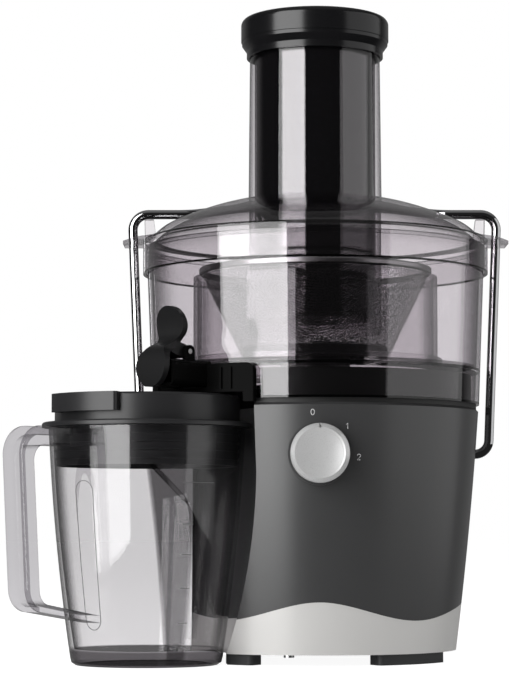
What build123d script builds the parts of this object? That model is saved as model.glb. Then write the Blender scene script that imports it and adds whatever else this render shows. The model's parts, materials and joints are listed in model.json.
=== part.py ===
from build123d import *
import os
from math import atan2, cos, degrees, radians, sin

# Centrifugal juicer, in millimetres, +Z up, standing on Z = 0.
# Everything is drawn about the motor axis and moved at the end, so that the
# whole machine's box is centred on the origin.
MAIN_X = 30.7
MAIN_Y = 23.3

# ---- motor base ----------------------------------------------------------
BASE_LOW = 6.5
BASE_HIGH = 156.8
BASE_FOOT_R = 88.0
BASE_MID = (96.6, 81.7)
BASE_TOP_R = 102.9
BASE_EDGE = 1.5
SHELL = 2.8
FLAT_X = -78.0
GAP = 0.2
DECK_LOW = 153.0
COLLAR_R = 98.5
COLLAR_HIGH = 178.0
FOOT_R = (72.0, 86.0)
FOOT_ARCS = ((24.7, 65.7), (-47.0, -27.9), (125.0, 165.0), (-165.0, -138.0))
WAVE = ((-130, 62), (-91, 35.5), (-64, 26.6), (0, 38), (64, 26.6), (91, 35.5), (130, 62))
POST_PLACES = ((55, -55), (55, 55), (-50, 58), (-18, -75))
POST_R = 4.5
SCREW_HEAD_R = 3.2

# ---- jug, beside the base ------------------------------------------------
JUG_X = -104.0
JUG_Y = -62.0
JUG_HIGH = 142.3
JUG_WALL = 2.5
JUG_FLOOR = 9.6
HANDLE_DIR = degrees(atan2(-0.773, -0.634))
HANDLE_WIDE = 17.0
HANDLE_WALL = 3.0
SCOOP = ((48.5, 6.5), (64.0, 54.0), (73.0, 115.0))
JUG_LID_R = 56.3
JUG_FLANGE_R = 64.0
JUG_LID_HIGH = 162.1
TAB_R = 63.0
TAB_HALF = 25.0
LIP_DIR = 56.0
LIP_FOOT = (14.0, 49.3)
LIP_RIM = (JUG_HIGH, 68.0)
LIP_SPREAD = 1.75
POUR_REACH = 141.0
POUR_R = 13.0

# ---- bowls and lid -------------------------------------------------------
SKIRT_LOW = 159.6
BOWL_FOOT_R = 103.5
BOWL_RIM_R = 107.4
BOWL_RIM = 258.0
BOWL_WALL = 2.5
PULP_FLOOR = (180.5, 184.0)
JUICE_R = 77.6
JUICE_RIM = 241.0
JUICE_FLOOR = (166.5, 169.0)
SPOUT_DIR = -135.0
SPOUT_HALF = 14.0
SPOUT_ROOT = 104.8
SPOUT_END = 136.5
SPOUT_TOP = 182.5
HOUSING_TURN = (-67.7, -20.8)
HOUSING_TOP = 180.4
LID_R = 109.6
LID_LOW = 243.0
LID_RIM = 265.0
CHUTE_R = 42.5
CHUTE_BORE = 38.6
CHUTE_TOP = 387.7
CHUTE_MOUTH_R = 41.6
CHUTE_LOW = 206.0
DOME_TOP = 290.8
DOME = ((CHUTE_R, DOME_TOP), (63.0, 286.2), (84.0, 278.9), (98.5, 271.6), (105.0, 265.0))
DOME_WALL = 2.4

# ---- pusher --------------------------------------------------------------
PUSHER_R = 37.5
PUSHER_LOW = 214.0
PUSHER_WALL = 3.0
CAP_R = 47.3
CAP_LOW = 388.1
CAP_SKIRT = (43.7, 382.8)
CAP_SHOULDER = (43.6, 407.9)
CAP_TOP = 410.0

# ---- bail ----------------------------------------------------------------
BAIL_ROD = 3.0
BAIL_Y = 15.0
BAIL_PIVOT_Z = 129.5
BAIL_FOOT_X = 111.0
BAIL_TOP_X = 117.5
BAIL_BAR_Z = 284.0
BAIL_BACK = (45.0, 57.0, 294.0)

# ---- control knob --------------------------------------------------------
KNOB_Z = 126.2
KNOB_R = 17.6
KNOB_BACK = -102.8
KNOB_DEEP = 13.0
KNOB_DISH = (70.7, 1.3)
SPINDLE_R = 2.95

# ---- spout lever ---------------------------------------------------------
HINGE_REACH = 120.0
HINGE_Z = 187.5
PIN_R = 1.5
LEVER_THICK = 4.0

# ---- drive train ---------------------------------------------------------
SHAFT_R = 3.96
BEARING_BORE = 4.0
BEARING_R = 11.0
MOTOR_R = 40.0
SIEVE_FOOT = (46.1, 190.5)
SIEVE_TOP = (71.6, 243.0)
SIEVE_THICK = 0.8
GRATER_Z = 196.0
GRATER_R = 44.8


# ==== helpers =============================================================
def turned(*points):
    """Solid of revolution about Z from a closed outline of (radius, height)."""
    return revolve(Plane.XZ * make_face(Polyline(*points, close=True)), Axis.Z)


def turned_soft(points, radii):
    """Solid of revolution about Z whose outline's corners are rounded."""
    return revolve(Plane.XZ * make_face(FilletPolyline(*points, radius=radii, close=True)), Axis.Z)


def ring(outer, inner, low, high):
    """Flat ring or tube about Z."""
    return turned((inner, low), (outer, low), (outer, high), (inner, high))


def disc(radius, low, high):
    """Upright cylinder about Z."""
    return Pos(0, 0, low) * extrude(Circle(radius), high - low)


def block(low, high):
    """Box between two corners."""
    size = [b - a for a, b in zip(low, high)]
    middle = [(a + b) / 2 for a, b in zip(low, high)]
    return Pos(*middle) * Box(*size)


def rod_y(x, z, radius, low, high):
    """Cylinder along Y from low to high."""
    return Pos(x, high, z) * Rot(90, 0, 0) * extrude(Circle(radius), high - low)


def rod_x(y, z, radius, low, high):
    """Cylinder along X from low to high."""
    return Pos(low, y, z) * Rot(0, 90, 0) * extrude(Circle(radius), high - low)


def sector(outer, inner, start, end, low, high):
    """Piece of a ring between two angles, measured from -Y, positive towards +X."""
    reach = outer * 3
    first, last = radians(start), radians(end)
    wedge = Polyline((0, 0), (reach * sin(first), -reach * cos(first)),
                     (reach * sin((first + last) / 2), -reach * cos((first + last) / 2)),
                     (reach * sin(last), -reach * cos(last)), close=True)
    return ring(outer, inner, low, high) & Pos(0, 0, low) * extrude(make_face(wedge), high - low)


def group(solids):
    """Separate solids kept together as one set of identical pieces."""
    return Compound([part.solid() for part in solids])


def spread(solid, places):
    """Copies of one solid at several places, as one group."""
    return group([Pos(*place) * solid for place in places])


def at_jug(solid):
    """A solid drawn about Z, moved to the jug's axis."""
    return Pos(JUG_X, JUG_Y, 0) * solid


def along(angle, solid):
    """A solid drawn along +X, turned about Z to point along an angle."""
    return Rot(0, 0, angle) * solid


def side_plate(outline, half):
    """A face drawn in the XZ plane, thickened to both sides along Y."""
    return extrude(Plane.XZ * outline, half, both=True)


# ==== base ================================================================
def scoop(extra):
    """The hollow that the jug stands in, about the jug's axis."""
    low, middle, high = [(r + extra, z) for r, z in SCOOP]
    edge = (Line((0, -5), (low[0], -5)) + Line((low[0], -5), low)
            + ThreePointArc(low, middle, high) + Line(high, (high[0], 200))
            + Line((high[0], 200), (0, 200)) + Line((0, 200), (0, -5)))
    return at_jug(revolve(Plane.XZ * make_face(edge), Axis.Z))


def envelope(inset):
    """The base's outside form, drawn in by an even amount."""
    foot = (BASE_FOOT_R - inset, BASE_LOW)
    middle = (BASE_MID[0] - inset, BASE_MID[1])
    shoulder = (BASE_TOP_R - inset, BASE_HIGH - BASE_EDGE)
    top = (BASE_TOP_R - BASE_EDGE - inset, BASE_HIGH)
    edge = (Line((0, BASE_LOW), foot) + ThreePointArc(foot, middle, shoulder)
            + Line(shoulder, top) + Line(top, (0, BASE_HIGH)) + Line((0, BASE_HIGH), (0, BASE_LOW)))
    body = revolve(Plane.XZ * make_face(edge), Axis.Z)
    return body - scoop(inset) - block((-200, -200, 0), (FLAT_X + inset, 200, 200))


def slab(low, high):
    """Everything between two heights."""
    return block((-200, -200, low), (200, 200, high))


def under_wave():
    """Everything below the wavy line between the band and the shell."""
    wave = Spline(*WAVE)
    edge = (wave + Line(WAVE[-1], (130, 0)) + Line((130, 0), (-130, 0)) + Line((-130, 0), WAVE[0]))
    return side_plate(make_face(edge), 130)


def base_wall():
    """The base's whole side wall, open at the top and the bottom."""
    return envelope(0) - envelope(SHELL)


def base_shell():
    wall = base_wall() - under_wave()
    wall -= rod_y(0, KNOB_Z, SPINDLE_R + 0.5, -120, -80)
    wall -= rod_x(BAIL_Y, BAIL_PIVOT_Z, BAIL_ROD + 0.4, -130, 130)
    return wall


def base_band():
    wall = base_wall() & under_wave()
    return wall - rod_y(0, 20, 5.6, 70, 110)


def bottom_plate():
    plate = envelope(SHELL + GAP) & slab(BASE_LOW, BASE_LOW + 3)
    for column in range(-3, 4):
        plate -= block((column * 9 - 2, -34, 0), (column * 9 + 2, 34, 20))
    for x, y in POST_PLACES:
        plate -= Pos(x, y, 0) * disc(1.7, 0, 20)
    return plate


def feet():
    pads = [sector(FOOT_R[1], FOOT_R[0], start, end, 0, BASE_LOW) for start, end in FOOT_ARCS]
    pads = [fillet(pad.edges().filter_by(Axis.Z), 3) for pad in pads]
    recess = spread(disc(SCREW_HEAD_R + 0.4, BASE_LOW - 2.2, BASE_LOW + 1), POST_PLACES)
    return group([pad - scoop(0.4) - recess for pad in pads])


def top_deck():
    deck = envelope(SHELL + GAP) & slab(DECK_LOW, BASE_HIGH)
    collar = ring(COLLAR_R, COLLAR_R - 2.5, DECK_LOW, COLLAR_HIGH) - scoop(SHELL + GAP)
    collar -= block((-200, -200, 0), (FLAT_X + SHELL + GAP, 200, 200))
    deck += collar
    deck -= disc(14, 140, 200)
    for x, y in POST_PLACES:
        post = disc(POST_R, BASE_LOW + 3, DECK_LOW + 1) - disc(1.4, 0, 26)
        deck += Pos(x, y, 0) * post
    return deck


def case_screws():
    screw = disc(1.35, BASE_LOW, 24) + disc(SCREW_HEAD_R, BASE_LOW - 1.8, BASE_LOW)
    return spread(screw, POST_PLACES)


def bowl_gasket():
    gasket = ring(101.6, COLLAR_R + GAP, BASE_HIGH, SKIRT_LOW) - scoop(0.6)
    return gasket - block((-200, -200, 0), (FLAT_X + 0.6, 200, 200))


def bail_bushes():
    right = rod_x(BAIL_Y, BAIL_PIVOT_Z, 6, 84, 95)
    left = rod_x(BAIL_Y, BAIL_PIVOT_Z, 6, FLAT_X + SHELL, -66)
    bore = rod_x(BAIL_Y, BAIL_PIVOT_Z, BAIL_ROD + 0.05, -120, 120)
    return group([right - bore, left - bore])


def cord_gland():
    """Grommet in the back of the band, where the mains lead leaves."""
    flange = rod_y(0, 20, 8.5, 86, 91.5) - envelope(-0.02)
    body = flange + rod_y(0, 20, 5.4, 82, 90.5)
    return body - rod_y(0, 20, 3.6, 70, 100)


def knob_bezel():
    sleeve = rod_y(0, KNOB_Z, 18.9, -102.4, -90) - rod_y(0, KNOB_Z, 15.5, -110, -80)
    return sleeve - envelope(-0.02)


def speed_switch():
    case = block((-12.5, -92, KNOB_Z - 13), (12.5, -74, KNOB_Z + 13))
    return case - rod_y(0, KNOB_Z, SPINDLE_R + 0.05, -100, -76)


def control_board():
    board = block((-10, -70, 62), (46, -68.4, 100))
    for index, (wide, tall, deep) in enumerate(((12, 10, 9), (8, 14, 7), (10, 10, 12))):
        left = -7 + index * 18
        board += block((left, -70 - deep, 70), (left + wide, -70, 70 + tall))
    return board


def interlock_switch():
    case = block((70, 4, 114), (80, 26, 121))
    return case + block((78, 12, 121), (80, 16, 123))


# ==== motor ===============================================================
def motor_stator():
    core = ring(MOTOR_R, 26, 72, 116)
    for turn in (0, 180):
        core -= along(turn, block((24, -9, 60), (33, 9, 120)))
    return core


def field_coils():
    return group([ring(36.5, 27.5, 62, 71.8), ring(36.5, 27.5, 116.2, 126)])


def motor_top_frame():
    return turned((11, 133), (14, 133), (14, 138), (37.5, 138), (37.5, 116), (MOTOR_R, 116),
                  (MOTOR_R, 141), (11, 141))


def motor_bottom_frame():
    frame = turned((11, 47), (MOTOR_R, 47), (MOTOR_R, 72), (37.5, 72), (37.5, 50), (14, 50),
                   (14, 55), (11, 55))
    for turn in range(0, 360, 60):
        frame -= along(turn, block((18, -5, 40), (33, 5, 52)))
    return frame


def bearing(low):
    """Deep-groove ball bearing drawn as its two rings joined by the cage."""
    return turned((BEARING_BORE, low), (6.2, low), (6.2, low + 0.6), (9, low + 0.6), (9, low),
                  (BEARING_R, low), (BEARING_R, low + 7), (9, low + 7), (9, low + 6.4),
                  (6.2, low + 6.4), (6.2, low + 7), (BEARING_BORE, low + 7))


def upper_bearing():
    return bearing(134)


def lower_bearing():
    return bearing(48)


def motor_dampers():
    damper = ring(6, 2.2, 141, DECK_LOW)
    return spread(damper, [(32 * cos(radians(a)), 32 * sin(radians(a)), 0) for a in (0, 90, 180, 270)])


def motor_screws():
    screw = disc(2.1, 141, DECK_LOW)
    return spread(screw, [(32 * cos(radians(a)), 32 * sin(radians(a)), 0) for a in (0, 90, 180, 270)])


def brush_holders():
    sleeve = block((14, -4, 57.5), (27, 4, 61.8)) + block((14, -4, 57.5), (27, 4, 67.5))
    sleeve -= block((10, -3, 58.5), (26, 3, 66.5))
    return group([along(turn, sleeve) for turn in (0, 180)])


def carbon_brushes():
    brush = block((12.4, -2.9, 58.6), (24, 2.9, 66.4))
    return group([along(turn, brush) for turn in (0, 180)])


def shaft_seal():
    return turned((SHAFT_R + 0.05, 150), (14, 150), (14, BASE_HIGH), (9, BASE_HIGH), (9, 152),
                  (SHAFT_R + 0.05, 152))


# ==== drive train =========================================================
def motor_shaft():
    return disc(SHAFT_R, 32, 181)


def on_shaft(radius, low, high):
    """A collar pressed on the shaft."""
    return ring(radius, SHAFT_R, low, high)


def rotor_core():
    core = on_shaft(25.2, 75, 113)
    for turn in range(0, 360, 30):
        core -= along(turn, block((21.5, -1, 70), (26, 1, 120)))
    return core


def rotor_windings():
    return group([ring(21, 9, 69, 75), ring(21, 9, 113, 120)])


def commutator():
    return on_shaft(12, 57, 68.5)


def cooling_fan():
    fan = on_shaft(9, 34, 45) + ring(33, 8, 43.4, 45)
    for turn in range(0, 360, 40):
        fan += along(turn, block((8, -0.9, 35), (33, 0.9, 44)))
    return fan


def drive_coupling():
    body = on_shaft(8, 158.5, 181)
    for turn in range(0, 360, 60):
        body += along(turn, block((7, -1.5, 158.5), (11, 1.5, 181)))
    return body


def sieve_hub():
    return turned((11.3, 170), (14, 170), (14, 187), (20, 187), (20, 174), (22, 174), (22, 187),
                  (30, 187), (30, 190), (0, 190), (0, 183), (11.3, 183))


def sieve_base():
    return ring(46, 0.01, 190, GRATER_Z)


def sieve_mesh():
    (foot_r, foot_z), (top_r, top_z) = SIEVE_FOOT, SIEVE_TOP
    return turned((foot_r, foot_z), (foot_r + SIEVE_THICK, foot_z),
                  (top_r + SIEVE_THICK, top_z), (top_r, top_z))


def sieve_rim():
    return turned_soft([(71, 243), (74, 243), (74, 247), (71, 247)], [0, 1, 1, 1])


def grater_disc():
    plate = disc(GRATER_R, GRATER_Z, GRATER_Z + 1.2)
    tooth = Pos(0, 0, GRATER_Z + 1) * extrude(Rectangle(1.2, 3.2), 2.2, taper=18)
    for row, reach in enumerate((12, 20, 28, 36, 42)):
        count = 6 + 5 * row
        for index in range(count):
            plate += along(index * 360 / count + row * 11, Pos(reach, 0, 0) * tooth)
    return plate


# ==== bowls ===============================================================
def pulp_bowl():
    wall = BOWL_WALL
    floor_low, floor_high = PULP_FLOOR
    slope = (BOWL_RIM_R - BOWL_FOOT_R) / (BOWL_RIM - SKIRT_LOW)
    low_r = BOWL_FOOT_R + slope * (floor_low - SKIRT_LOW)
    high_r = BOWL_FOOT_R + slope * (floor_high - SKIRT_LOW)
    bowl = turned((BOWL_FOOT_R, SKIRT_LOW), (BOWL_RIM_R, BOWL_RIM), (BOWL_RIM_R - wall, BOWL_RIM),
                  (high_r - wall, floor_high), (80.4, floor_high), (80.4, 189), (78.0, 189),
                  (78.0, floor_low), (low_r - wall, floor_low), (BOWL_FOOT_R - wall, SKIRT_LOW))
    return bowl - (scoop(0) & slab(100, floor_low))


def juice_bowl():
    low, high = JUICE_FLOOR
    wall = BOWL_WALL
    bowl = turned((16, low), (JUICE_R, low), (JUICE_R, JUICE_RIM), (JUICE_R - wall, JUICE_RIM),
                  (JUICE_R - wall, high), (18, high), (18, 184), (16, 184))
    channel = block((JUICE_R - wall, -SPOUT_HALF, low), (SPOUT_ROOT - GAP, SPOUT_HALF, 180.2))
    passage = block((JUICE_R - 8, -SPOUT_HALF + 2, high), (110, SPOUT_HALF - 2, 178))
    return bowl + along(SPOUT_DIR, channel) - along(SPOUT_DIR, passage)


def nozzle_room(extra):
    """Outside of the spout nozzle, which points along +X, grown by a clearance."""
    tall = SPOUT_TOP - JUICE_FLOOR[0] + 2 * extra
    outline = RectangleRounded(2 * (SPOUT_HALF + extra), tall, 4)
    middle = (SPOUT_TOP + JUICE_FLOOR[0]) / 2
    return Pos(SPOUT_ROOT, 0, middle) * (Plane.YZ * extrude(outline, SPOUT_END - SPOUT_ROOT))


def spout_nozzle():
    passage = block((100, -SPOUT_HALF + 2, 168.3), (150, SPOUT_HALF - 2, SPOUT_TOP - 2))
    body = nozzle_room(0) - passage
    foot = Polyline((HINGE_REACH - 3.8, SPOUT_TOP - 1), (HINGE_REACH + 3.8, SPOUT_TOP - 1),
                    (HINGE_REACH + 3.8, HINGE_Z), (HINGE_REACH - 3.8, HINGE_Z), close=True)
    shape = make_face(foot) + Pos(HINGE_REACH, HINGE_Z) * Circle(3.8)
    for side in (-9.6, 9.6):
        body += Pos(0, side, 0) * side_plate(shape, 1.4)
    body -= rod_y(HINGE_REACH, HINGE_Z, PIN_R, -20, 20)
    return along(SPOUT_DIR, body)


def lever_pin():
    return along(SPOUT_DIR, rod_y(HINGE_REACH, HINGE_Z, PIN_R, -11, 11))


def corner_block(reach, high, radius):
    """What is cut away to round the top of a wall whose end lies in the plane X = 0."""
    outline = make_face(Polyline((-radius, high - radius), (1, high - radius), (1, high + 1), (-radius, high + 1),
                                 close=True)) - Pos(-radius, high - radius) * Circle(radius)
    return Pos(0, -reach, 0) * side_plate(outline, 12)


def spout_housing():
    """Curved black cover outside the bowl's foot, with a window for the nozzle."""
    outer, inner = 110.2, 104.9
    start, end = HOUSING_TURN
    cover = sector(outer, inner, start, end, 163.2, HOUSING_TOP)
    cover += sector(outer, inner, end - 3.9, end, 157.2, 164)
    cover = fillet(cover.edges().filter_by(Axis.Z), 0.8)
    cover -= Rot(0, 0, end) * corner_block(outer, HOUSING_TOP, 5)
    edge = SPOUT_HALF + GAP
    cover -= along(SPOUT_DIR, block((95, -edge, JUICE_FLOOR[0] - GAP), (SPOUT_ROOT + 8, edge, SPOUT_TOP + GAP)))
    for turn in (-62, -32.5, -29):
        cover += sector(111.4, 109.8, turn, turn + 0.7, 165, 178)
    return cover


def feed_chute():
    """Straight tube through the dome."""
    low_r = CHUTE_R - 0.4
    return turned((CHUTE_BORE, CHUTE_LOW), (low_r, CHUTE_LOW), (low_r, DOME_TOP - DOME_WALL),
                  (CHUTE_R, DOME_TOP - DOME_WALL), (CHUTE_R, DOME_TOP), (CHUTE_MOUTH_R, CHUTE_TOP - 0.8),
                  (CHUTE_MOUTH_R - 0.8, CHUTE_TOP), (CHUTE_BORE, CHUTE_TOP))


def lid():
    """Dome with a skirt over the bowl's rim; its middle is open for the chute."""
    inset = (0, 1.1, 2.2, 2.9, 2.0)
    under = [(r - k, z - DOME_WALL) for k, (r, z) in zip(inset, DOME)]
    edge = Spline(*DOME)
    edge += Polyline(DOME[-1], (LID_R - 1, LID_RIM), (LID_R, LID_RIM - 1), (LID_R, LID_LOW),
                     (BOWL_RIM_R + 0.4, LID_LOW), (BOWL_RIM_R + 0.4, 260.4), (103.4, 260.4),
                     under[-1])
    edge += Spline(*reversed(under))
    edge += Line(under[0], DOME[0])
    cover = revolve(Plane.XZ * make_face(edge), Axis.Z)
    return cover + lid_ears() + lid_lugs()


def lid_ears():
    """Grip tabs at both sides of the rim, in front of the bail."""
    outline = FilletPolyline((100, -50), (113, -36), (122, -14), (122, 11), (100, 11),
                             radius=[0, 14, 4, 0, 0], close=True)
    ear = Pos(0, 0, 261.6) * extrude(make_face(outline), 2)
    inside = disc(BOWL_RIM_R + 1, 250, 270)
    ear -= inside
    return ear + mirror(ear, Plane.YZ)


def lid_lugs():
    """Catches that the bail's crossbar snaps over."""
    outline = make_face(Polyline((101.5, 264), (109, 264), (109.4, 280.4), (103.6, 280.4), close=True))
    lug = Pos(0, 14, 0) * side_plate(outline, 4)
    return lug + mirror(lug, Plane.YZ)


def lid_seal():
    return turned_soft([(105, BOWL_RIM), (BOWL_RIM_R, BOWL_RIM), (BOWL_RIM_R, 260.4), (105, 260.4)], 0.4)


# ==== pusher ==============================================================
def pusher_body():
    """Hollow plunger, closed below, that reaches down to just above the grater."""
    wall = PUSHER_WALL
    outer = [(0, PUSHER_LOW), (PUSHER_R - wall, PUSHER_LOW), (PUSHER_R, PUSHER_LOW + wall),
             (PUSHER_R, 392), (PUSHER_R - wall, 392)]
    inner = [(PUSHER_R - wall, PUSHER_LOW + 5), (PUSHER_R - wall - 2, PUSHER_LOW + wall), (0, PUSHER_LOW + wall)]
    return turned(*outer, *inner)


def pusher_cap():
    """Cap that closes the plunger, with a stepped skirt over the chute's mouth."""
    skirt_r, skirt_low = CAP_SKIRT
    shoulder_r, shoulder_z = CAP_SHOULDER
    room_r = CHUTE_MOUTH_R + 0.4
    bore = PUSHER_R + 0.1
    plug = PUSHER_R - PUSHER_WALL - 0.2
    side = Polyline((bore, 393), (bore, CAP_LOW), (room_r, CAP_LOW), (room_r, skirt_low), (skirt_r, skirt_low),
                    (skirt_r, skirt_low + 4), (CAP_R - 0.6, 391), (CAP_R - 0.6, 393.2), (CAP_R, 393.4),
                    (CAP_R, 403.8))
    side += ThreePointArc((CAP_R, 403.8), (CAP_R - 1.0, 406.4), CAP_SHOULDER)
    rise = CAP_TOP - shoulder_z
    crown_r = (shoulder_r**2 + rise**2) / (2 * rise)
    halfway = shoulder_r / 2
    side += ThreePointArc(CAP_SHOULDER, (halfway, CAP_TOP - crown_r + (crown_r**2 - halfway**2)**0.5), (0, CAP_TOP))
    side += Polyline((0, CAP_TOP), (0, 402), (plug, 402), (plug, 393), (bore, 393))
    return revolve(Plane.XZ * make_face(side), Axis.Z)


# ==== bail ================================================================
def bail():
    back_x, back_y, back_z = BAIL_BACK
    points = [(-68, BAIL_Y, BAIL_PIVOT_Z), (-BAIL_FOOT_X, BAIL_Y, BAIL_PIVOT_Z),
              (-BAIL_TOP_X, BAIL_Y, BAIL_BAR_Z), (-80, BAIL_Y, BAIL_BAR_Z),
              (-back_x, back_y, back_z), (back_x, back_y, back_z), (80, BAIL_Y, BAIL_BAR_Z),
              (BAIL_TOP_X, BAIL_Y, BAIL_BAR_Z), (BAIL_FOOT_X, BAIL_Y, BAIL_PIVOT_Z),
              (86, BAIL_Y, BAIL_PIVOT_Z)]
    path = FilletPolyline(*points, radius=[9, 10, 18, 18, 18, 18, 10, 9])
    section = Plane(origin=points[0], z_dir=(-1, 0, 0)) * Circle(BAIL_ROD)
    return sweep(section, path)


# ==== knob ================================================================
def knob():
    front = KNOB_BACK - KNOB_DEEP
    outline = FilletPolyline((0, 0), (KNOB_R, 0), (KNOB_R, 10.2), (14.6, KNOB_DEEP), (13.9, KNOB_DEEP - 0.7),
                             (0, KNOB_DEEP - 0.7), radius=[0, 0.5, 2, 0.3, 0.3, 0], close=True)
    body = revolve(Plane.XZ * make_face(outline), Axis.Z)
    body = Pos(0, KNOB_BACK, KNOB_Z) * Rot(90, 0, 0) * body
    dish_r, dish_deep = KNOB_DISH
    body -= Pos(0, front + 0.7 + dish_deep - dish_r, KNOB_Z) * Sphere(dish_r)
    body -= block((-0.6, front - 2, KNOB_Z + 14.6), (0.6, front + 3.5, KNOB_Z + 20))
    return body - rod_y(0, KNOB_Z, SPINDLE_R, KNOB_BACK - 8, KNOB_BACK + 1)


def knob_spindle():
    return rod_y(0, KNOB_Z, SPINDLE_R, KNOB_BACK - 8, -77)


# ==== spout lever =========================================================
def spout_lever():
    """Paddle with a thumb lobe above the hinge and a cap lobe over the spout's mouth."""
    curve = Spline((127.5, 217), (124.8, 205), (125.6, 195.5), (131, 190.6), (137, 187.6),
                   (140.2, 180.5), (140.4, 164))
    ribbon = side_plate(trace(curve, LEVER_THICK), 20)
    front = Pos(0, 203.5) * Circle(11.5) + Pos(0, 178.5) * Circle(12.6)
    front += make_face(Polyline((-7.5, 178), (7.5, 178), (7.5, 204), (-7.5, 204), close=True))
    front = fillet(front.vertices(), 6)
    paddle = ribbon & Pos(100, 0, 0) * (Plane.YZ * extrude(front, 60))
    arm = Polyline((HINGE_REACH - 2, HINGE_Z + 3.4), (127, 193.5), (133, 187.4), (129, 185.6),
                   (HINGE_REACH, HINGE_Z - 3.6), close=True)
    body = paddle + side_plate(make_face(arm), 7.6) + rod_y(HINGE_REACH, HINGE_Z, 3.8, -7.6, 7.6)
    body -= rod_y(HINGE_REACH, HINGE_Z, PIN_R + 0.05, -20, 20)
    return along(SPOUT_DIR, body)


def lever_pad():
    """Soft disc under the cap lobe that closes the spout's mouth."""
    pad = Pos(SPOUT_END + 0.4, 0, 174.2) * Rot(0, 90, 0) * extrude(Circle(8), 3.5)
    return along(SPOUT_DIR, pad) - spout_lever()


# ==== jug =================================================================
def jug_wall():
    wall = JUG_WALL
    outer = [(46.2, 5), (53.7, 63), (59.9, JUG_HIGH)]
    inner = [(46.2 - wall, JUG_FLOOR), (53.7 - wall, 63), (59.9 - wall, JUG_HIGH)]
    edge = (Polyline((0, 0.9), (38, 0.9), (39.5, 0), (43, 0), (45.4, 1.6), outer[0])
            + ThreePointArc(*outer) + Line(outer[-1], inner[-1])
            + ThreePointArc(inner[-1], inner[1], inner[0])
            + Polyline(inner[0], (0, JUG_FLOOR), (0, 0.9)))
    return revolve(Plane.XZ * make_face(edge), Axis.Z)


def jug_room():
    """The space inside the jug's wall."""
    wall = JUG_WALL
    side = ThreePointArc((46.2 - wall, JUG_FLOOR), (53.7 - wall, 63), (59.9 - wall, JUG_HIGH))
    edge = side + Polyline((59.9 - wall, JUG_HIGH), (0, JUG_HIGH), (0, JUG_FLOOR), (46.2 - wall, JUG_FLOOR))
    return revolve(Plane.XZ * make_face(edge), Axis.Z)


def lip_wedge(inset):
    """Wedge whose ridge leans out along +X as it rises, set back by an inset."""
    deep = 17
    faces = []
    for height, reach in (LIP_FOOT, LIP_RIM):
        tip = reach - inset
        outline = Polyline((tip, 0), (tip - deep, deep * LIP_SPREAD), (tip - deep, -deep * LIP_SPREAD), close=True)
        faces.append(Pos(0, 0, height) * make_face(outline))
    return loft(faces)


def handle_loop(outer, inner, half):
    """A closed band between two outlines in the handle's plane, thickened to both sides."""
    band = make_face(FilletPolyline(*outer, radius=[0, 17, 14, 0], close=True))
    band -= make_face(FilletPolyline(*inner, radius=[0, 9, 9, 0], close=True))
    return side_plate(band, half)


def jug_handle():
    """Grip with rounded edges and a channel along its back."""
    outer = [(55, 141), (116.8, 141), (109.8, 35.4), (48, 26.1)]
    inner = [(57, 129.8), (106.2, 129.8), (99.8, 39.1), (47, 30.2)]
    half = HANDLE_WIDE / 2
    grip = handle_loop(outer, inner, half)
    grip = fillet([edge for edge in grip.edges() if is_rim(edge, half)], 1.4)
    web = [(60, 136), (111.6, 136), (105.0, 37.6), (60, 30.5)]
    reach = [(60, 160), (140, 160), (140, 10), (60, 10)]
    channel = make_face(Polyline(*reach, close=True))
    channel -= make_face(FilletPolyline(*web, radius=[0, 13, 10, 0], close=True))
    return grip - side_plate(channel & grip_core(), half - HANDLE_WALL)


def is_rim(edge, half):
    """Whether an edge lies along the grip, on either side face."""
    middle = edge @ 0.5
    return abs(abs(middle.Y) - half) < 0.01 and middle.X > 62


def grip_core():
    """The stretch of the handle that is hollowed into a channel."""
    return make_face(Polyline((72, 160), (140, 160), (140, 30), (98, 30), (98, 60), (72, 120), close=True))


def jug():
    handle = along(HANDLE_DIR, jug_handle())
    inside = turned((0, 6), (44, 6), (51.5, 63), (57.8, 145), (0, 145))
    body = jug_wall() + (handle - inside)
    lip = along(LIP_DIR, lip_wedge(0)) - jug_room()
    channel = along(LIP_DIR, lip_wedge(JUG_WALL * 1.15))
    return at_jug(body + lip - channel)


def jug_lid():
    top = JUG_LID_HIGH
    cover = turned((0, top - 2.4), (JUG_LID_R - 2.4, top - 2.4), (JUG_LID_R - 2.4, 145.8), (53, 145.8),
                   (53, 119.5), (55.0, 119.5), (55.4, 142.9), (JUG_FLANGE_R, 142.9),
                   (JUG_FLANGE_R, 145.0), (JUG_FLANGE_R - 0.8, 145.8), (JUG_LID_R, 145.8),
                   (JUG_LID_R, top - 1.2), (JUG_LID_R - 1.2, top), (0, top))
    for height in (123, 128, 133, 138):
        cover += ring(56.1, 54, height, height + 1.2)
    tab = sector(TAB_R, JUG_LID_R - 1, -TAB_HALF, TAB_HALF, 151, top)
    tab = fillet([edge for edge in tab.edges().filter_by(Axis.Z) if (edge @ 0.5).Y < 2 - JUG_LID_R], 2)
    tab -= sector(TAB_R - 2.2, JUG_LID_R - 2, 3 - TAB_HALF, TAB_HALF - 3, 140, top - 2.2)
    cover += along(HANDLE_DIR + 90, tab)
    pour_x = POUR_REACH * cos(radians(SPOUT_DIR)) - JUG_X
    pour_y = POUR_REACH * sin(radians(SPOUT_DIR)) - JUG_Y
    cover -= Pos(pour_x, pour_y, 0) * disc(POUR_R, 150, 170)
    return at_jug(cover)


def froth_separator():
    wall = block((-2, -27, 124), (0, 27, JUG_LID_HIGH - 2.4))
    slope = side_plate(make_face(Polyline((-2, 124), (0, 126), (27, 97), (25.4, 95.6), close=True)), 27)
    plate = wall + slope
    for step in range(-2, 3):
        plate -= Pos(27.5, step * 12, 90) * disc(4, 0, 14)
    return at_jug(plate)


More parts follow.
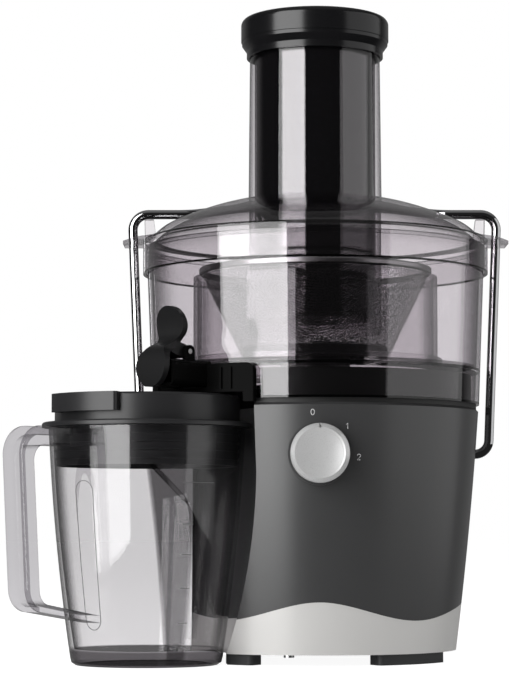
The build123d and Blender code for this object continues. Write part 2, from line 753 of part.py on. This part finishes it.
# ==== writing =============================================================
PARTS = {function.__name__: function for function in (
    base_shell, base_band, bottom_plate, feet, top_deck, case_screws, bowl_gasket, bail_bushes,
    cord_gland, knob_bezel, speed_switch, control_board, interlock_switch, motor_stator,
    field_coils, motor_top_frame, motor_bottom_frame, upper_bearing, lower_bearing, motor_dampers,
    motor_screws, brush_holders, carbon_brushes, shaft_seal, pulp_bowl, juice_bowl, spout_nozzle,
    lever_pin, spout_housing, feed_chute, lid, lid_seal,
    motor_shaft, rotor_core, rotor_windings, commutator, cooling_fan, drive_coupling, sieve_hub,
    sieve_base, sieve_mesh, sieve_rim, grater_disc,
    pusher_body, pusher_cap, bail, knob, knob_spindle, spout_lever, lever_pad,
    jug, jug_lid, froth_separator)}

os.makedirs("parts", exist_ok=True)
for name, function in PARTS.items():
    export_step(Pos(MAIN_X, MAIN_Y, 0) * function(), f"parts/{name}.step")
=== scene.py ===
import json
from math import atan2, cos, hypot, pi, radians, sin

import bpy
from mathutils import Matrix, Vector
from mathutils.bvhtree import BVHTree


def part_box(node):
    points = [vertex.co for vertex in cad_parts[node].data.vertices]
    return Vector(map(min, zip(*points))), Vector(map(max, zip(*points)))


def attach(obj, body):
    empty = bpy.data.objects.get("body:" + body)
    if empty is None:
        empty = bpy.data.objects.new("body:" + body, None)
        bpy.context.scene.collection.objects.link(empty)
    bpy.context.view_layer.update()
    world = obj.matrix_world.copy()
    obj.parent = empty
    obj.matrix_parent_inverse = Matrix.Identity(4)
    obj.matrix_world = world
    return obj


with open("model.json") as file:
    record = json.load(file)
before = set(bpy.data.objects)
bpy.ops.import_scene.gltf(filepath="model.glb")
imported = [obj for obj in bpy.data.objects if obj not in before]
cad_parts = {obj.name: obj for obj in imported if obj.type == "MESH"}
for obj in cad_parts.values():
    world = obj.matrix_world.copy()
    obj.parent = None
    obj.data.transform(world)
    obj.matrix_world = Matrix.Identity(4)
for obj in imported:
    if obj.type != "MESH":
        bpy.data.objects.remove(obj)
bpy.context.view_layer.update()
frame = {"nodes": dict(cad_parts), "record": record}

MM = 0.001

# ---- places worked out from the frame --------------------------------------
shaft_low, shaft_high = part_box("motor_shaft")
AXIS = Vector(((shaft_low[0] + shaft_high[0]) / 2, (shaft_low[1] + shaft_high[1]) / 2, 0))
jug_low, jug_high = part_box("froth_separator")
JUG_AXIS = Vector((jug_low[0] + 2 * MM, (jug_low[1] + jug_high[1]) / 2, 0))


def at_axis(x, y, z):
    """A place given in millimetres from the motor axis and the table."""
    return AXIS + Vector((x, y, z)) * MM


# ---- camera ----------------------------------------------------------------
def make_camera():
    camera = bpy.data.objects.new("camera", bpy.data.cameras.new("camera"))
    bpy.context.scene.collection.objects.link(camera)
    camera.location = at_axis(-38.4, -1551.0, 77.65)
    camera.rotation_euler = (pi / 2 + 0.0804, 0, 0)
    camera.data.lens = 130.0
    camera.data.sensor_width = 36.0
    bpy.context.scene.camera = camera


# ---- node helpers ----------------------------------------------------------
def new_material(name):
    material = bpy.data.materials.new(name)
    material.use_nodes = True
    return material, material.node_tree.nodes, material.node_tree.links


def set_sockets(node, **values):
    for key, value in values.items():
        node.inputs[key.replace("_", " ")].default_value = value


def noise(nodes, links, scale, detail=3.0, stretch=(1, 1, 1)):
    """A noise texture in the object's own coordinates, in cycles per metre."""
    place = nodes.new("ShaderNodeTexCoord")
    mapping = nodes.new("ShaderNodeMapping")
    mapping.inputs["Scale"].default_value = stretch
    texture = nodes.new("ShaderNodeTexNoise")
    texture.inputs["Scale"].default_value = scale
    texture.inputs["Detail"].default_value = detail
    links.new(place.outputs["Object"], mapping.inputs["Vector"])
    links.new(mapping.outputs["Vector"], texture.inputs["Vector"])
    return texture


def vary(nodes, links, texture, socket, low, high):
    """Spread a noise between two values of a socket."""
    spread = nodes.new("ShaderNodeMapRange")
    spread.inputs["From Min"].default_value = 0.3
    spread.inputs["From Max"].default_value = 0.7
    spread.inputs["To Min"].default_value = low
    spread.inputs["To Max"].default_value = high
    links.new(texture.outputs["Fac"], spread.inputs["Value"])
    links.new(spread.outputs["Result"], socket)


def bump(nodes, links, texture, shader, distance, strength=1.0):
    node = nodes.new("ShaderNodeBump")
    node.inputs["Distance"].default_value = distance
    node.inputs["Strength"].default_value = strength
    links.new(texture.outputs["Fac"], node.inputs["Height"])
    links.new(node.outputs["Normal"], shader.inputs["Normal"])


def tint(nodes, links, texture, socket, dark, light):
    """Colour that drifts a little between two near shades."""
    ramp = nodes.new("ShaderNodeValToRGB")
    ramp.color_ramp.elements[0].position = 0.3
    ramp.color_ramp.elements[1].position = 0.7
    ramp.color_ramp.elements[0].color = (*dark, 1)
    ramp.color_ramp.elements[1].color = (*light, 1)
    links.new(texture.outputs["Fac"], ramp.inputs["Fac"])
    links.new(ramp.outputs["Color"], socket)


# ---- materials -------------------------------------------------------------
def solid(name, dark, light, rough, metal=0.0, grain=3500.0, depth=0.00001, stretch=(1, 1, 1), **extra):
    """Opaque material with a fine moulded or brushed grain and a slight drift of tone."""
    material, nodes, links = new_material(name)
    shader = nodes["Principled BSDF"]
    set_sockets(shader, Metallic=metal, **extra)
    fine = noise(nodes, links, grain, stretch=stretch)
    broad = noise(nodes, links, 14.0, detail=2.0)
    tint(nodes, links, broad, shader.inputs["Base Color"], dark, light)
    vary(nodes, links, fine, shader.inputs["Roughness"], rough * 0.88, rough * 1.12)
    bump(nodes, links, fine, shader, depth)
    return material


def schlick(nodes, links, head_on):
    """How much a smooth skin mirrors, from its share seen straight on, the same on both sides of a wall."""
    layer = nodes.new("ShaderNodeLayerWeight")
    layer.inputs["Blend"].default_value = 0.5
    fifth = nodes.new("ShaderNodeMath")
    fifth.operation = "POWER"
    fifth.inputs[1].default_value = 5.0
    spread = nodes.new("ShaderNodeMapRange")
    spread.inputs["To Min"].default_value = head_on
    links.new(layer.outputs["Facing"], fifth.inputs[0])
    links.new(fifth.outputs[0], spread.inputs["Value"])
    return layer, spread.outputs["Result"]


def glossy(name, colour, rough, mirror, body_rough=0.35):
    """Polished opaque plastic: a dark body under a clear skin with its own share of mirror."""
    material, nodes, links = new_material(name)
    body = nodes["Principled BSDF"]
    set_sockets(body, Base_Color=(*colour, 1), Specular_IOR_Level=0.0)
    fine = noise(nodes, links, 700.0)
    vary(nodes, links, fine, body.inputs["Roughness"], body_rough * 0.9, body_rough * 1.1)
    skin = nodes.new("ShaderNodeBsdfGlossy")
    set_sockets(skin, Color=(1, 1, 1, 1), Roughness=rough)
    layer, share = schlick(nodes, links, mirror)
    mix = nodes.new("ShaderNodeMixShader")
    links.new(share, mix.inputs["Fac"])
    links.new(body.outputs["BSDF"], mix.inputs[1])
    links.new(skin.outputs["BSDF"], mix.inputs[2])
    links.new(mix.outputs["Shader"], nodes["Material Output"].inputs["Surface"])
    return material


def darker_where(nodes, links, colour, mask, shade):
    """Multiply a colour by a shade where the mask is 1."""
    mix = nodes.new("ShaderNodeMix")
    mix.data_type = "RGBA"
    mix.blend_type = "MULTIPLY"
    mix.inputs["B"].default_value = (*shade, 1)
    links.new(mask, mix.inputs["Factor"])
    links.new(colour, mix.inputs["A"])
    return mix.outputs["Result"]


def spread_to_one(nodes, links, value, none, full):
    """0 where the value is at none and 1 where it is at full, both in millimetres."""
    fade = nodes.new("ShaderNodeMapRange")
    fade.inputs["From Min"].default_value = none * MM
    fade.inputs["From Max"].default_value = full * MM
    links.new(value, fade.inputs["Value"])
    return fade.outputs["Result"]


def math_node(nodes, links, operation, first, second):
    node = nodes.new("ShaderNodeMath")
    node.operation = operation
    for socket, value in zip(node.inputs, (first, second)):
        if isinstance(value, float):
            socket.default_value = value
        else:
            links.new(value, socket)
    return node.outputs[0]


def height_mask(nodes, links, full, none):
    """1 on the full side of a height and 0 on the none side, in millimetres."""
    place = nodes.new("ShaderNodeTexCoord")
    split = nodes.new("ShaderNodeSeparateXYZ")
    links.new(place.outputs["Object"], split.inputs["Vector"])
    return spread_to_one(nodes, links, split.outputs["Z"], none, full)


def level_line(nodes, links, middle, half):
    """1 in a thin level line round the object at a height, in millimetres."""
    below = height_mask(nodes, links, middle - half, middle - half - 0.3)
    above = height_mask(nodes, links, middle + half, middle + half + 0.3)
    return math_node(nodes, links, "MULTIPLY", below, above)


def reach_mask(nodes, links, centre, none, full):
    """1 beyond the radius full about an upright axis and 0 inside the radius none."""
    place = nodes.new("ShaderNodeTexCoord")
    flat = nodes.new("ShaderNodeVectorMath")
    flat.operation = "MULTIPLY"
    flat.inputs[1].default_value = (1, 1, 0)
    apart = nodes.new("ShaderNodeVectorMath")
    apart.operation = "DISTANCE"
    apart.inputs[1].default_value = (centre.x, centre.y, 0)
    links.new(place.outputs["Object"], flat.inputs[0])
    links.new(flat.outputs["Vector"], apart.inputs[0])
    return spread_to_one(nodes, links, apart.outputs["Value"], none, full)


def side_mask(nodes, links, centre, bearing, none, full, slope=0.0):
    """1 on the full side and 0 on the none side of a distance out along a level bearing.
    The distance grows with height by the slope."""
    place = nodes.new("ShaderNodeTexCoord")
    from_axis = nodes.new("ShaderNodeVectorMath")
    from_axis.operation = "SUBTRACT"
    from_axis.inputs[1].default_value = (centre.x, centre.y, 0)
    ahead = nodes.new("ShaderNodeVectorMath")
    ahead.operation = "DOT_PRODUCT"
    ahead.inputs[1].default_value = (cos(bearing), sin(bearing), -slope)
    links.new(place.outputs["Object"], from_axis.inputs[0])
    links.new(from_axis.outputs["Vector"], ahead.inputs[0])
    return spread_to_one(nodes, links, ahead.outputs["Value"], none, full)


def clear(name, face, edge, start=0.35, mirror=0.045, masks=()):
    """Thin see-through plastic: a tint that deepens edge on, under a mirror-smooth skin."""
    material, nodes, links = new_material(name)
    nodes.remove(nodes["Principled BSDF"])
    through = nodes.new("ShaderNodeBsdfTransparent")
    skin = nodes.new("ShaderNodeBsdfGlossy")
    set_sockets(skin, Roughness=0.02, Color=(1, 1, 1, 1))
    layer, share = schlick(nodes, links, mirror)
    ramp = nodes.new("ShaderNodeValToRGB")
    ramp.color_ramp.elements[0].position = start
    ramp.color_ramp.elements[0].color = (*face, 1)
    ramp.color_ramp.elements[1].color = (*edge, 1)
    mix = nodes.new("ShaderNodeMixShader")
    links.new(layer.outputs["Facing"], ramp.inputs["Fac"])
    colour = ramp.outputs["Color"]
    for make_mask, shade in masks:
        colour = darker_where(nodes, links, colour, make_mask(nodes, links), shade)
    links.new(colour, through.inputs["Color"])
    links.new(share, mix.inputs["Fac"])
    links.new(through.outputs["BSDF"], mix.inputs[1])
    links.new(skin.outputs["BSDF"], mix.inputs[2])
    links.new(mix.outputs["Shader"], nodes["Material Output"].inputs["Surface"])
    return material


def woven_steel(name, pitch=0.0008):
    """Fine etched sheet: round holes in steel, see-through where they are."""
    material, nodes, links = new_material(name)
    metal = nodes["Principled BSDF"]
    set_sockets(metal, Metallic=1.0, Roughness=0.38, Base_Color=(0.13, 0.13, 0.133, 1))
    place = nodes.new("ShaderNodeTexCoord")
    cells = nodes.new("ShaderNodeTexVoronoi")
    cells.inputs["Scale"].default_value = 1 / pitch
    cells.inputs["Randomness"].default_value = 0.5
    hole = nodes.new("ShaderNodeMath")
    hole.operation = "LESS_THAN"
    hole.inputs[1].default_value = 0.55
    gap = nodes.new("ShaderNodeBsdfTransparent")
    mix = nodes.new("ShaderNodeMixShader")
    links.new(place.outputs["Object"], cells.inputs["Vector"])
    links.new(cells.outputs["Distance"], hole.inputs[0])
    links.new(hole.outputs[0], mix.inputs["Fac"])
    links.new(metal.outputs["BSDF"], mix.inputs[1])
    links.new(gap.outputs["BSDF"], mix.inputs[2])
    links.new(mix.outputs["Shader"], nodes["Material Output"].inputs["Surface"])
    return material


# heights, radii and bearings of the darkened places, in millimetres and degrees; the darkening under the lip
# is painted shade
HANDLE_REACH = (60.5, 64)
JUG_FOOT = (8.6, 10.2)
LIP_BEARING = 56
LIP_EDGE_LEAN = 0.15
LID_RIM, LID_FOOT, BOWL_FLOOR, BOWL_FOOT = (264.4, 0.5), (243.4, 0.5), (181.0, 0.7), (160.2, 0.6)


def handle_of_jug(nodes, links):
    return reach_mask(nodes, links, JUG_AXIS, *HANDLE_REACH)


def foot_of_jug(nodes, links):
    return height_mask(nodes, links, *JUG_FOOT)


def lip_painted_shade(nodes, links):
    """Painted shade: the half of the wall under the pouring lip that runs from its middle to its leaning
    edge, where the tint is darkened to stand in for the dark base seen through the lip.
    """
    lip_side = side_mask(nodes, links, JUG_AXIS, radians(LIP_BEARING), 15, 20)
    spread_way = radians(LIP_BEARING + 90)
    past_middle = side_mask(nodes, links, JUG_AXIS, spread_way, 3, 6)
    inside_edge = side_mask(nodes, links, JUG_AXIS, spread_way, 16.2, 15, slope=LIP_EDGE_LEAN)
    both = math_node(nodes, links, "MULTIPLY", past_middle, inside_edge)
    return math_node(nodes, links, "MULTIPLY", lip_side, both)


def line_at(place):
    """A mask for one dark level line, given as its height and half its width."""
    return lambda nodes, links: level_line(nodes, links, *place)


# depth of a moulded grain too fine to see, in metres
FAINT = 0.000001


def make_materials():
    # the lip's mask paints shade into the jug's tint
    jug_masks = ((handle_of_jug, (0.82, 0.815, 0.825)), (foot_of_jug, (0.36, 0.35, 0.36)),
                 (lip_painted_shade, (0.40, 0.395, 0.40)))
    dark_line = (0.12, 0.12, 0.12)
    lid_masks = ((line_at(LID_RIM), dark_line), (line_at(LID_FOOT), dark_line))
    bowl_masks = ((line_at(BOWL_FLOOR), dark_line), (line_at(BOWL_FOOT), dark_line))
    face, edge = (0.915, 0.902, 0.912), (0.50, 0.48, 0.50)
    return {
        "dark_shell": solid("dark_shell", (0.034, 0.034, 0.0345), (0.037, 0.037, 0.038), 0.31, depth=FAINT,
                            IOR=1.66),
        "silver_band": solid("silver_band", (0.56, 0.553, 0.54), (0.60, 0.593, 0.58), 0.33, metal=0.3,
                             depth=FAINT),
        "silver_knob": solid("silver_knob", (0.56, 0.56, 0.56), (0.60, 0.60, 0.60), 0.30, metal=0.45,
                             depth=FAINT * 0.3),
        "black_plastic": solid("black_plastic", (0.015, 0.015, 0.016), (0.018, 0.018, 0.019), 0.34,
                               depth=FAINT),
        "lever_plastic": solid("lever_plastic", (0.006, 0.006, 0.0065), (0.008, 0.008, 0.0085), 0.40,
                               depth=FAINT, Specular_IOR_Level=0.35),
        "black_gloss": glossy("black_gloss", (0.003, 0.003, 0.0035), 0.015, 0.10),
        "deep_black": solid("deep_black", (0.002, 0.002, 0.002), (0.003, 0.003, 0.003), 0.28, depth=FAINT,
                            Specular_IOR_Level=0.02),
        "cap_satin": solid("cap_satin", (0.004, 0.004, 0.0045), (0.006, 0.006, 0.0065), 0.20, depth=FAINT),
        "rubber": solid("rubber", (0.015, 0.016, 0.017), (0.021, 0.022, 0.023), 0.6),
        "silicone": solid("silicone", (0.006, 0.006, 0.006), (0.010, 0.010, 0.010), 0.5),
        "smoke_clear": clear("smoke_clear", face, edge, start=0.5),
        "chute_clear": clear("chute_clear", face, (0.30, 0.285, 0.30), start=0.5),
        "lid_clear": clear("lid_clear", (0.935, 0.922, 0.932), (0.6, 0.58, 0.6), start=0.5, masks=lid_masks),
        "bowl_clear": clear("bowl_clear", (0.895, 0.88, 0.893), edge, start=0.5, mirror=0.056,
                            masks=bowl_masks),
        "seal_clear": clear("seal_clear", (0.8, 0.79, 0.8), (0.5, 0.49, 0.5), start=0.4, mirror=0.03),
        "deck_black": solid("deck_black", (0.003, 0.003, 0.003), (0.004, 0.004, 0.004), 0.35, depth=FAINT,
                            Specular_IOR_Level=0.2),
        "jug_clear": clear("jug_clear", (0.91, 0.905, 0.91), (0.22, 0.215, 0.22), start=0.5, mirror=0.036,
                           masks=jug_masks),
        "mark_paint": solid("mark_paint", (0.55, 0.55, 0.55), (0.6, 0.6, 0.6), 0.5),
        "jug_print": solid("jug_print", (0.10, 0.10, 0.10), (0.13, 0.13, 0.13), 0.45),
        "chrome_rod": solid("chrome_rod", (0.60, 0.60, 0.61), (0.64, 0.64, 0.65), 0.05, metal=1.0,
                            depth=FAINT * 0.1),
        "steel": solid("steel", (0.5, 0.5, 0.5), (0.6, 0.6, 0.6), 0.3, metal=1.0),
        "sieve_steel": woven_steel("sieve_steel"),
        "iron": solid("iron", (0.1, 0.1, 0.11), (0.14, 0.14, 0.15), 0.5, metal=0.8, stretch=(0.05, 0.05, 4)),
        "cast_frame": solid("cast_frame", (0.45, 0.45, 0.46), (0.52, 0.52, 0.53), 0.55, metal=0.9, grain=400),
        "copper": solid("copper", (0.45, 0.2, 0.08), (0.55, 0.26, 0.12), 0.35, metal=0.9),
        "carbon": solid("carbon", (0.02, 0.02, 0.02), (0.03, 0.03, 0.03), 0.6),
        "circuit_board": solid("circuit_board", (0.02, 0.10, 0.04), (0.03, 0.13, 0.05), 0.35),
    }


# nodes whose finish isn't the one their slot is named after
FINISHES = {
    "sieve_mesh": "sieve_steel", "pusher_cap": "cap_satin", "spout_lever": "lever_plastic",
    "spout_housing": "deep_black", "spout_nozzle": "deep_black", "lid": "lid_clear", "lid_seal": "seal_clear",
    "pulp_bowl": "bowl_clear", "feed_chute": "chute_clear", "top_deck": "deck_black",
}


def dress_nodes(materials):
    slots = {part["node"]: part["material_slot"] for part in frame["record"]["subparts"]}
    for node, piece in frame["nodes"].items():
        piece.data.materials.clear()
        finish = FINISHES.get(node, slots[node])
        piece.data.materials.append(materials[finish])


# ---- marks and trims laid on the CAD surfaces --------------------------------
def skin_of(node):
    """The node's surface, ready for rays."""
    mesh = frame["nodes"][node].data
    return BVHTree.FromPolygons([v.co for v in mesh.vertices], [p.vertices for p in mesh.polygons])


def on_skin(skin, axis, bearing, height, proud):
    """Where a level ray towards an upright axis first meets a surface, lifted a little off it."""
    outward = Vector((cos(bearing), sin(bearing), 0))
    start = Vector((axis.x, axis.y, height)) + outward * 0.4
    hit = skin.ray_cast(start, -outward)[0]
    return hit + outward * proud


def laid(name, skin, axis, bearing, height, paths, thick, proud, turn=0.0):
    """Fine raised lines on a surface: each path runs in (across, up) from a bearing and a height.
    On a round surface they may be taken at that bearing and then turned about its axis."""
    reach = (on_skin(skin, axis, bearing, height, 0) - Vector((axis.x, axis.y, height))).length
    turned = Matrix.Translation(axis) @ Matrix.Rotation(turn, 4, "Z") @ Matrix.Translation(-axis)
    curve = bpy.data.curves.new(name, "CURVE")
    curve.dimensions = "3D"
    curve.bevel_depth = thick
    curve.bevel_resolution = 2
    curve.use_fill_caps = True
    for path, closed in paths:
        spline = curve.splines.new("POLY")
        spline.points.add(len(path) - 1)
        for point, (across, up) in zip(spline.points, path):
            place = turned @ on_skin(skin, axis, bearing + across / reach, height + up, proud)
            point.co = (*place, 1)
        spline.use_cyclic_u = closed
    rough = bpy.data.objects.new(name, curve)
    bpy.context.scene.collection.objects.link(rough)
    graph = bpy.context.evaluated_depsgraph_get()
    mesh = bpy.data.meshes.new_from_object(rough.evaluated_get(graph))
    bpy.data.objects.remove(rough)
    piece = bpy.data.objects.new(name, mesh)
    bpy.context.scene.collection.objects.link(piece)
    for face in mesh.polygons:
        face.use_smooth = True
    return piece


def finish_piece(piece, body, material):
    piece.data.materials.clear()
    piece.data.materials.append(material)
    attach(piece, body)


def level(half, up, across=0.0, steps=6):
    """A short level stroke."""
    return [(across - half + 2 * half * k / steps, up) for k in range(steps + 1)], False


def stadium(half_wide, half_tall, lean):
    """A tall rounded outline that leans across as it goes down."""
    path = []
    straight = half_tall - half_wide
    for end in (1, -1):
        for k in range(13):
            angle = pi * k / 12 + (0 if end == 1 else pi)
            path.append((half_wide * cos(angle), end * straight + half_wide * sin(angle)))
    # extra points down the long sides keep the line on the surface
    dense = []
    for first, last in zip(path, path[1:] + path[:1]):
        count = max(1, round(hypot(last[0] - first[0], last[1] - first[1]) / (4 * MM)))
        dense += [(first[0] + (last[0] - first[0]) * k / count, first[1] + (last[1] - first[1]) * k / count)
                  for k in range(count)]
    return [(across - lean * up, up) for across, up in dense], True


def numeral(which, tall):
    """Strokes of a dial figure 0, 1 or 2."""
    wide = tall * 0.3
    if which == 0:
        return [([(wide * cos(pi * k / 10), tall / 2 * sin(pi * k / 10)) for k in range(20)], True)]
    if which == 1:
        return [([(-wide * 0.8, tall * 0.28), (0, tall / 2), (0, -tall / 2)], False)]
    bow = [(wide * cos(pi - pi * k / 8), tall * 0.22 + tall * 0.28 * sin(pi - pi * k / 8)) for k in range(10)]
    return [(bow + [(-wide, -tall / 2), (wide, -tall / 2)], False)]


# each dial figure and its place from the knob's middle, across and up, in millimetres
DIAL_FIGURES = ((0, -4.2, 24.5), (1, 16.8, 16.3), (2, 23.8, -2.0))
# half length and height of each line, in millimetres
JUG_TICKS = ((9.0, 108.7), (3.0, 84.4), (3.0, 66.4), (3.0, 46.7), (3.0, 26.2))
SCALE_FOOT = 26


def add_marks(materials):
    shell = skin_of("base_shell")
    low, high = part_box("knob")
    middle = Vector(((low[0] + high[0]) / 2, 0, (low[2] + high[2]) / 2))
    for which, across, up in DIAL_FIGURES:
        x = middle.x + across * MM
        reach = (high - low)[0] / 2 + 85 * MM
        bearing = atan2(-(reach**2 - (x - AXIS.x)**2)**0.5, x - AXIS.x)
        mark = laid(f"dial_mark_{which}", shell, AXIS, bearing, middle.z + up * MM, numeral(which, 3.4 * MM),
                    0.22 * MM, 0.05 * MM)
        finish_piece(mark, "base", materials["mark_paint"])
    jug = skin_of("jug")
    strokes = [level(half * MM, (height - SCALE_FOOT) * MM, (half - 3) * MM) for half, height in JUG_TICKS]
    scale = laid("jug_scale", jug, JUG_AXIS, radians(-62), SCALE_FOOT * MM, strokes, 0.2 * MM, 0.05 * MM)
    finish_piece(scale, "jug", materials["jug_print"])
    pad = laid("jug_pad_outline", jug, JUG_AXIS, radians(-90), 66 * MM, [stadium(6.2 * MM, 44 * MM, 0.01)],
               0.2 * MM, 0.0, turn=radians(-37.5))
    finish_piece(pad, "jug", materials["jug_print"])


# ---- studio ----------------------------------------------------------------
# brightness of the world in reflections, and of the floor's own glow
MIRRORED_WORLD = 0.2
FLOOR_GLOW = 0.93


def panel(name, bearing, reach, height, wide, tall, radiance):
    """A flat light facing the object: bearing in degrees from the camera's side, positive to the right."""
    light = bpy.data.lights.new(name, "AREA")
    light.shape = "RECTANGLE"
    light.size = wide
    light.size_y = tall
    light.energy = radiance * wide * tall * pi
    lamp = bpy.data.objects.new(name, light)
    bpy.context.scene.collection.objects.link(lamp)
    lamp.location = AXIS + Vector((reach * sin(radians(bearing)), -reach * cos(radians(bearing)), height))
    lamp.rotation_euler = (AXIS + Vector((0, 0, height)) - lamp.location).to_track_quat("-Z", "Y").to_euler()
    return lamp


def make_floor():
    mesh = bpy.data.meshes.new("floor")
    half = 30.0
    corners = [(-half, -half, 0), (half, -half, 0), (half, half, 0), (-half, half, 0)]
    mesh.from_pydata(corners, [], [(0, 1, 2, 3)])
    floor = bpy.data.objects.new("floor", mesh)
    bpy.context.scene.collection.objects.link(floor)
    floor.location.z = -0.0002
    floor.visible_glossy = False
    material, nodes, links = new_material("floor")
    set_sockets(nodes["Principled BSDF"], Base_Color=(0.45, 0.45, 0.45, 1), Roughness=0.6,
                Emission_Color=(1, 1, 1, 1), Emission_Strength=FLOOR_GLOW)
    mesh.materials.append(material)


def make_world():
    """Grey behind and above the object and dark in front of it; what the camera sees directly is white."""
    world = bpy.data.worlds.new("studio")
    bpy.context.scene.world = world
    world.use_nodes = True
    nodes, links = world.node_tree.nodes, world.node_tree.links
    nodes.clear()
    place = nodes.new("ShaderNodeTexCoord")
    split = nodes.new("ShaderNodeSeparateXYZ")
    behind = nodes.new("ShaderNodeMapRange")
    behind.inputs["From Min"].default_value = 0.55
    behind.inputs["From Max"].default_value = 0.8
    above = nodes.new("ShaderNodeMapRange")
    above.inputs["From Min"].default_value = 0.6
    above.inputs["From Max"].default_value = 0.9
    either = nodes.new("ShaderNodeMath")
    either.operation = "MAXIMUM"
    path = nodes.new("ShaderNodeLightPath")
    seen = nodes.new("ShaderNodeMath")
    seen.operation = "MAXIMUM"
    strength = nodes.new("ShaderNodeMapRange")
    strength.inputs["To Min"].default_value = 0.02
    strength.inputs["To Max"].default_value = MIRRORED_WORLD
    background = nodes.new("ShaderNodeBackground")
    background.inputs["Color"].default_value = (1, 1, 1, 1)
    output = nodes.new("ShaderNodeOutputWorld")
    links.new(place.outputs["Generated"], split.inputs["Vector"])
    links.new(split.outputs["Y"], behind.inputs["Value"])
    links.new(split.outputs["Z"], above.inputs["Value"])
    links.new(behind.outputs["Result"], either.inputs[0])
    links.new(above.outputs["Result"], either.inputs[1])
    links.new(either.outputs[0], strength.inputs["Value"])
    links.new(strength.outputs["Result"], seen.inputs[0])
    links.new(path.outputs["Is Camera Ray"], seen.inputs[1])
    links.new(seen.outputs[0], background.inputs["Strength"])
    links.new(background.outputs["Background"], output.inputs["Surface"])


def make_studio():
    make_world()
    make_floor()
    panel("softbox", -43.5, 2.5, 1.125, 2.2, 3.15, 5.0)
    panel("right_card", 84, 2.5, 1.0, 3.6, 2.6, 0.75)


make_camera()
materials = make_materials()
dress_nodes(materials)
add_marks(materials)
make_studio()
bpy.context.scene.view_settings.view_transform = "Standard"
bpy.context.scene.cycles.transparent_max_bounces = 32
